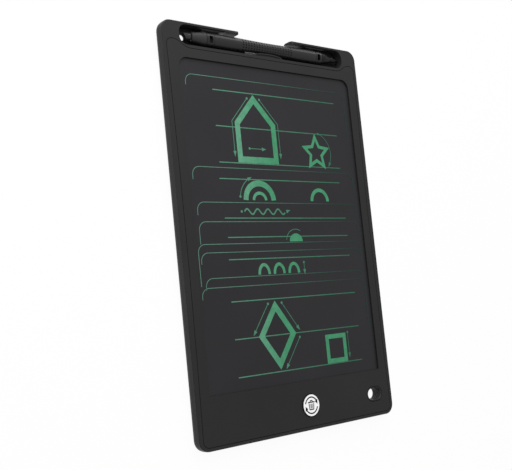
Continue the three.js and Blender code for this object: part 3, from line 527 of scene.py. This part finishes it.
# Upper edges of the stacked sheets: left, right, top, and how far the left and right sides run down
SHEET_EDGES = [
    (-59.5, 59, 84.5, 6, 30),
    (-60.5, 59.5, 34.5, 7, 14),
    (-59.5, 60, 15.5, 7, 7),
    (-59.5, 60, 5, 12, 8),
    (-61.5, 60, -7, 22, 6),
    (-60, 60, -11.5, 6, 9),
    (-58.5, 60, -25, 6, 6),
    (-61.5, 60, -30, 6, 30),
]


def scaled(points):
    return [(x * MM, y * MM) for x, y in points]


def stroke(mesh, points, width, lift, closed=False):
    low = LCD_TOP + lift
    ribbon(mesh, scaled(points), width, low, low + INK_THICKNESS, closed)


def filled(mesh, points, lift):
    low = LCD_TOP + lift
    plate(mesh, scaled(points), low, low + INK_THICKNESS)


def bold(ink, points, width, closed=False):
    stroke(ink["bold"], points, width * MM, BOLD_LIFT, closed)


def fine(ink, points, width=FINE_LINE):
    stroke(ink["line"], points, width, FINE_LIFT)


def ruled(ink, left, right, y):
    stroke(ink["line"], [(left, y), (right, y)], RULED_LINE, RULED_LIFT)


def start_dot(ink, x, y):
    filled(ink["line"], circle(x, y, START_DOT_RADIUS, 20), HEAD_LIFT)


def arrow_head(ink, x, y, heading):
    """A small filled triangle that points along heading, in degrees."""
    turn = math.radians(heading)
    size = ARROW_HEAD_SIZE
    corners = [(size, 0), (-size * 0.5, size * 0.5), (-size * 0.5, -size * 0.5)]
    points = [
        (x + a * math.cos(turn) - b * math.sin(turn), y + a * math.sin(turn) + b * math.cos(turn))
        for a, b in corners
    ]
    filled(ink["line"], points, HEAD_LIFT)


def guide(ink, points, heading):
    """A fine line beside a shape, with a dot where it starts and an arrow head where it ends."""
    fine(ink, points)
    start_dot(ink, *points[0])
    arrow_head(ink, *points[-1], heading)


def page_edge(ink, left, right, top, left_drop, right_drop):
    """The upper outline of one sheet of the stack, with its two rounded corners."""
    corner = SHEET_CORNER
    points = [(left, top - left_drop)]
    points += arc(left + corner, top - corner, corner, corner, 180, 90, 8)
    points += arc(right - corner, top - corner, corner, corner, 90, 0, 8)
    points.append((right, top - right_drop))
    stroke(ink["edge"], points, FINE_LINE, FINE_LIFT)


def first_sheet(ink):
    """A tall house front and a small star, both with guides."""
    for y in (77.5, 57.5, 37.5):
        ruled(ink, -42, 50, y)
    bold(ink, [(-27, 39.6), (-1, 39.6), (-1, 60), (-14, 74.3), (-27, 60)], 3.5, closed=True)
    guide(ink, [(-18.5, 74.5), (-30.6, 61), (-30.6, 43)], -90)
    guide(ink, [(-9.5, 74.5), (2.6, 61), (2.6, 43)], -90)
    guide(ink, [(-20, 46), (-10, 46)], 0)
    tips = circle(31, 46, 9.5, 5, 90)
    dips = circle(31, 46, 4.6, 5, 126)
    star = [point for pair in zip(tips, dips) for point in pair]
    bold(ink, star, 1.9, closed=True)
    guide(ink, arc(31, 46, 12, 12, 75, -32, 16), -122)


def second_sheet(ink):
    """The top of a rainbow and of a ring."""
    ruled(ink, -43, 48, 28.5)
    bold(ink, arc(-16, 17, 10, 9.5, 180, 0, 30), 3.4)
    bold(ink, arc(-16, 17, 4.4, 4, 180, 0, 20), 1.8)
    bold(ink, arc(30, 17, 6.4, 6.6, 180, 0, 24), 2.2)
    guide(ink, arc(-16, 17, 14, 13.5, 172, 118, 12), 28)


def third_sheet(ink):
    """A wave above its line."""
    ruled(ink, -42, 50, 7)
    start, middle, height, step, turn = -28, 10.6, 1.5, 0.5, 0.42
    wave = [(start + i * step, middle + height * math.sin(i * turn)) for i in range(60)]
    fine(ink, wave, WAVE_LINE)
    start_dot(ink, -30, middle)
    arrow_head(ink, 3.6, 11, 15)


def middle_sheets(ink):
    """The upper half of a sun, then the tops of three hills."""
    ruled(ink, -41, 50, -3.5)
    filled(ink["bold"], arc(8, -6.4, 5, 4.6, 0, 180, 24), BOLD_LIFT)
    fine(ink, arc(8, -6.4, 7.4, 7, 172, 60, 16))
    ruled(ink, -42, 50, -15.5)
    for x in (-18, -7, 4):
        bold(ink, arc(x, -24.3, 3.6, 5.4, 180, 0, 20), 1.8)
    guide(ink, [(12, -18.5), (12, -23.5)], -90)


def last_sheet(ink):
    """A tall diamond and a small square with guides between three ruled lines."""
    for y in (-38, -58, -78):
        ruled(ink, -43, 51, y)
    bold(ink, [(-13, -42), (-1.5, -58), (-13, -74), (-24.5, -58)], 3.5, closed=True)
    guide(ink, [(-18, -40.5), (-29, -55.5)], -126)
    guide(ink, [(3, -60.5), (-8, -75.5)], -126)
    guide(ink, [(-8, -40.5), (2.5, -55)], -54)
    bold(ink, [(24, -76.4), (38, -76.4), (38, -62.4), (24, -62.4)], 2.6, closed=True)
    guide(ink, [(41, -61), (41, -74)], -90)


def screen_drawing():
    ink = {kind: ([], []) for kind in ("bold", "line", "edge")}
    for sheet in (first_sheet, second_sheet, third_sheet, middle_sheets, last_sheet):
        sheet(ink)
    for edge in SHEET_EDGES:
        page_edge(ink, *edge)
    make_piece("screen_shapes", ink["bold"], FINISH["bold_ink"], "housing")
    make_piece("screen_lines", ink["line"], FINISH["line_ink"], "housing")
    make_piece("sheet_edges", ink["edge"], FINISH["edge_ink"], "housing")


# The print on the button: a white disc with a bin inside two turning arrows

def button_print():
    centre = (BUTTON_LOW + BUTTON_HIGH) / 2
    top = BUTTON_HIGH.z

    def around(points):
        return [(centre.x + x * MM, centre.y + y * MM) for x, y in points]

    def spoke(radius, angle):
        return (radius * math.cos(angle), radius * math.sin(angle))

    white = ([], [])
    plate(white, around(circle(0, 0, DISC_RADIUS, 64)), top, top + PRINT_LIFT)
    make_piece("button_face", white, FINISH["button"], "button")

    # Where two parts of the mark cross, one reaches a little higher, so that no faces coincide
    black = ([], [])
    low, high = top + PRINT_LIFT * 1.5, top + PRINT_LIFT * 2.5
    over = high + PRINT_LIFT / 2
    for start in ARROW_STARTS:
        shaft = arc(0, 0, ARROW_RADIUS, ARROW_RADIUS, start, start - ARROW_SWEEP, 24)
        ribbon(black, around(shaft), ARROW_WIDTH, low, high)
        tip = math.radians(start - HEAD_TIP_SWEEP)
        root = math.radians(start - HEAD_ROOT_SWEEP)
        head = [
            spoke(HEAD_TIP_RADIUS, tip),
            spoke(HEAD_OUTER_RADIUS, root),
            spoke(HEAD_INNER_RADIUS, root),
        ]
        plate(black, around(head), low, over)
    ribbon(black, around(BIN_WALL), BIN_WALL_WIDTH, low, high)
    for x in BIN_SLATS:
        slat = [(x, BIN_SLAT_TOP), (x * BIN_SLAT_TAPER, BIN_SLAT_FOOT)]
        ribbon(black, around(slat), BIN_SLAT_WIDTH, low, high)
    ribbon(black, around(BIN_LID), BIN_LID_WIDTH, low, high)
    ribbon(black, around(BIN_HANDLE), BIN_HANDLE_WIDTH, low, over)
    make_piece("button_mark", black, FINISH["mark"], "button")


# The grip: rows of small raised dots on the barrel

def grip_tree():
    """The Geometry Nodes tree that lays the dots in rows on the barrel's oval surface."""
    tree = bpy.data.node_groups.new("grip dots", "GeometryNodeTree")
    face = tree.interface
    face.new_socket("Geometry", in_out="INPUT", socket_type="NodeSocketGeometry")
    sizes = {
        "Count Along": ("NodeSocketInt", DOTS_IN_ROW),
        "Count Around": ("NodeSocketInt", DOT_ROWS),
        "Pitch": ("NodeSocketFloat", DOT_PITCH),
        "Row Angle": ("NodeSocketFloat", ROW_ANGLE),
        "First Row": ("NodeSocketFloat", FIRST_ROW),
        "Dot Radius": ("NodeSocketFloat", DOT_RADIUS),
        "Waist Half Width": ("NodeSocketFloat", WAIST_HALF_WIDTH),
        "Waist Half Height": ("NodeSocketFloat", WAIST_HALF_HEIGHT),
        "Swell": ("NodeSocketFloat", SWELL),
        "Swell Reach": ("NodeSocketFloat", SWELL_REACH),
        "Material": ("NodeSocketMaterial", None),
    }
    for label, (kind, value) in sizes.items():
        socket = face.new_socket(label, in_out="INPUT", socket_type=kind)
        if value is not None:
            socket.default_value = value
    face.new_socket("Geometry", in_out="OUTPUT", socket_type="NodeSocketGeometry")
    nodes = tree.nodes
    link = tree.links.new
    given = nodes.new("NodeGroupInput")
    result = nodes.new("NodeGroupOutput")

    def math_node(operation, *values):
        """One sum, product or other step. Each value is a number or another node's output."""
        node = nodes.new("ShaderNodeMath")
        node.operation = operation
        for entry, value in zip(node.inputs, values):
            if isinstance(value, (int, float)):
                entry.default_value = value
            else:
                link(value, entry)
        return node.outputs[0]

    grid = nodes.new("GeometryNodeMeshLine")
    total = math_node("MULTIPLY", given.outputs["Count Along"], given.outputs["Count Around"])
    link(total, grid.inputs["Count"])
    index = nodes.new("GeometryNodeInputIndex").outputs[0]
    row = math_node("FLOOR", math_node("DIVIDE", index, given.outputs["Count Along"]))
    column = math_node("SUBTRACT", index, math_node("MULTIPLY", row, given.outputs["Count Along"]))
    middle = math_node("MULTIPLY", math_node("SUBTRACT", given.outputs["Count Along"], 1), 0.5)
    along = math_node("SUBTRACT", column, middle)
    x = math_node("MULTIPLY", along, given.outputs["Pitch"])
    turned = math_node("MULTIPLY", row, given.outputs["Row Angle"])
    angle = math_node("ADD", turned, given.outputs["First Row"])
    ratio = math_node("DIVIDE", x, given.outputs["Swell Reach"])
    swell = math_node("MULTIPLY", math_node("MULTIPLY", ratio, ratio), given.outputs["Swell"])
    wide = math_node("ADD", given.outputs["Waist Half Width"], swell)
    tall = math_node("ADD", given.outputs["Waist Half Height"], swell)
    y = math_node("MULTIPLY", math_node("SINE", angle), wide)
    z = math_node("MULTIPLY", math_node("COSINE", angle), tall)
    spot = nodes.new("ShaderNodeCombineXYZ")
    for axis, value in zip("XYZ", (x, y, z)):
        link(value, spot.inputs[axis])
    place = nodes.new("GeometryNodeSetPosition")
    link(grid.outputs["Mesh"], place.inputs["Geometry"])
    link(spot.outputs[0], place.inputs["Position"])
    dot = nodes.new("GeometryNodeMeshUVSphere")
    dot.inputs["Segments"].default_value = 10
    dot.inputs["Rings"].default_value = 6
    link(given.outputs["Dot Radius"], dot.inputs["Radius"])
    flat = nodes.new("GeometryNodeTransform")
    flat.inputs["Scale"].default_value = (1, 1, DOT_HEIGHT_SHARE)
    link(dot.outputs["Mesh"], flat.inputs["Geometry"])
    turn = nodes.new("ShaderNodeCombineXYZ")
    link(math_node("MULTIPLY", angle, -1), turn.inputs["X"])
    copies = nodes.new("GeometryNodeInstanceOnPoints")
    link(place.outputs["Geometry"], copies.inputs["Points"])
    link(flat.outputs["Geometry"], copies.inputs["Instance"])
    link(turn.outputs[0], copies.inputs["Rotation"])
    real = nodes.new("GeometryNodeRealizeInstances")
    link(copies.outputs["Instances"], real.inputs["Geometry"])
    paint = nodes.new("GeometryNodeSetMaterial")
    link(real.outputs["Geometry"], paint.inputs["Geometry"])
    link(given.outputs["Material"], paint.inputs["Material"])
    link(paint.outputs["Geometry"], result.inputs["Geometry"])
    return tree


def grown(tree, name, settings):
    """An object with the plain mesh that a Geometry Nodes tree makes with these settings."""
    data = bpy.data.meshes.new(name)
    holder = bpy.data.objects.new(name, data)
    bpy.context.scene.collection.objects.link(holder)
    modifier = holder.modifiers.new("grow", "NODES")
    modifier.node_group = tree
    for item in tree.interface.items_tree:
        if item.in_out == "INPUT" and item.name in settings:
            modifier[item.identifier] = settings[item.name]
    bpy.context.view_layer.update()
    evaluated = holder.evaluated_get(bpy.context.evaluated_depsgraph_get())
    mesh = bpy.data.meshes.new_from_object(evaluated)
    holder.modifiers.remove(modifier)
    holder.data = mesh
    return holder


def stylus_grip():
    dots = grown(grip_tree(), "stylus_grip", {"Material": FINISH["grip"]})
    centre = (BARREL_LOW + BARREL_HIGH) / 2
    dots.data.transform(Matrix.Translation(centre))
    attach(dots, "stylus")


# Stage, light and camera

def either(tree, values):
    """The largest of several masks."""
    total = values[0]
    for value in values[1:]:
        node = tree.nodes.new("ShaderNodeMath")
        node.operation = "MAXIMUM"
        tree.links.new(total, node.inputs[0])
        tree.links.new(value, node.inputs[1])
        total = node.outputs[0]
    return total


def mixed(tree, mask, first, second):
    """The first shader where the mask is 0, the second where it is 1."""
    node = tree.nodes.new("ShaderNodeMixShader")
    tree.links.new(mask, node.inputs["Fac"])
    tree.links.new(first, node.inputs[1])
    tree.links.new(second, node.inputs[2])
    return node.outputs[0]


def floor():
    """A pale floor that shows from above only, so that the back can be seen and lit from below."""
    level = CAD_BOX[0][2] - FLOOR_GAP
    bpy.ops.mesh.primitive_plane_add(size=FLOOR_SIZE, location=(0, 0, level))
    ground = bpy.context.object
    ground.name = "floor"
    material, tree, shader = principled("pale floor")
    shader.inputs["Base Color"].default_value = (*grey(0.86), 1)
    shader.inputs["Roughness"].default_value = 0.9
    glow = tree.nodes.new("ShaderNodeEmission")
    glow.inputs["Color"].default_value = (1, 1, 1, 1)
    glow.inputs["Strength"].default_value = 1
    clear = tree.nodes.new("ShaderNodeBsdfTransparent")
    ray = tree.nodes.new("ShaderNodeLightPath").outputs
    share = tree.nodes.new("ShaderNodeMath")
    share.operation = "MULTIPLY"
    share.inputs[1].default_value = FLOOR_GLOW_SHARE
    seen = either(tree, [ray["Is Camera Ray"], ray["Is Glossy Ray"], ray["Is Transmission Ray"]])
    tree.links.new(seen, share.inputs[0])
    pale = mixed(tree, share.outputs[0], shader.outputs[0], glow.outputs[0])
    # It is clear from below, and it neither tints the part nor keeps light from it
    under = tree.nodes.new("ShaderNodeNewGeometry").outputs["Backfacing"]
    hidden = either(tree, [under, ray["Is Diffuse Ray"], ray["Is Shadow Ray"]])
    surface = mixed(tree, hidden, pale, clear.outputs[0])
    tree.links.new(surface, tree.nodes["Material Output"].inputs["Surface"])
    ground.data.materials.append(material)


def soft_light(name, place, size, power):
    """A square lamp that shines towards the tablet."""
    lamp = bpy.data.lights.new(name, "AREA")
    lamp.size = size
    lamp.energy = power
    holder = bpy.data.objects.new(name, lamp)
    bpy.context.scene.collection.objects.link(holder)
    holder.location = place
    holder.rotation_mode = "QUATERNION"
    holder.rotation_quaternion = (-Vector(place)).to_track_quat("-Z", "Y")


def studio():
    world = bpy.data.worlds.new("studio")
    bpy.context.scene.world = world
    world.use_nodes = True
    back = world.node_tree.nodes["Background"]
    back.inputs["Color"].default_value = (1, 1, 1, 1)
    back.inputs["Strength"].default_value = ROOM_BRIGHTNESS
    for lamp in LAMPS:
        soft_light(*lamp)
    bpy.context.scene.view_settings.view_transform = "Standard"


def photograph_camera():
    data = bpy.data.cameras.new("camera")
    camera = bpy.data.objects.new("camera", data)
    bpy.context.scene.collection.objects.link(camera)
    data.sensor_width = SENSOR_WIDTH
    data.lens = FOCAL_PIXELS * data.sensor_width / IMAGE_WIDTH
    data.shift_y = (MIDDLE_ROW - IMAGE_HEIGHT / 2) / IMAGE_WIDTH
    data.clip_start = NEAREST_SEEN
    turn = Matrix((CAMERA_RIGHT, -Vector(CAMERA_DOWN), -Vector(CAMERA_AHEAD))).transposed().to_4x4()
    camera.matrix_world = Matrix.Translation(CAMERA_PLACE) @ turn
    bpy.context.scene.camera = camera


photograph_camera()
dress_solids()
screen_drawing()
button_print()
stylus_grip()
floor()
studio()
